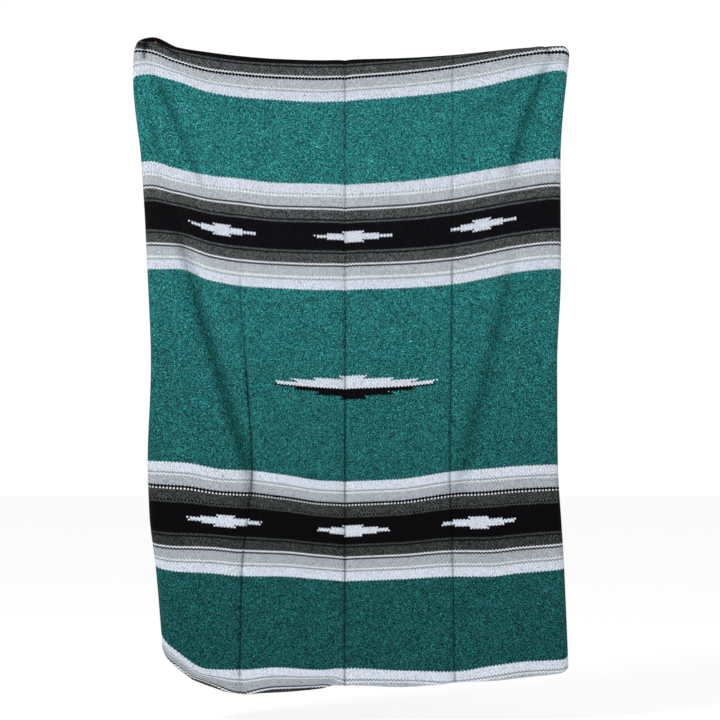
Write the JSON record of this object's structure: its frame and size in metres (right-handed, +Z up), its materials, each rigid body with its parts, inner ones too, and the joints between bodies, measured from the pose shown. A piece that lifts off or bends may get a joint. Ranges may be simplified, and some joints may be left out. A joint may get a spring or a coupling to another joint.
{
  "type": "striped handwoven blanket hung from two nails",
  "caption": "Green heather handwoven blanket with striped bands and stepped diamonds, hung by its upper corners from plain nails.",
  "frame": {"origin": "on the wall, half way between the two nails that hold the upper corners", "axes": "+Z up, -Y out of the wall towards the viewer, +X to the right across the blanket as seen from the front"},
  "size_m": [1.2443, 0.0997, 1.8759],
  "materials": {
    "weave": "coarse plain weave, green heather ground with white, grey and black stripes",
    "iron": "rusty plain iron wire nail"
  },
  "bodies": {
    "root": {"blanket_cloth": "weave", "nail_left": "iron", "nail_right": "iron"}
  },
  "joints": []
}
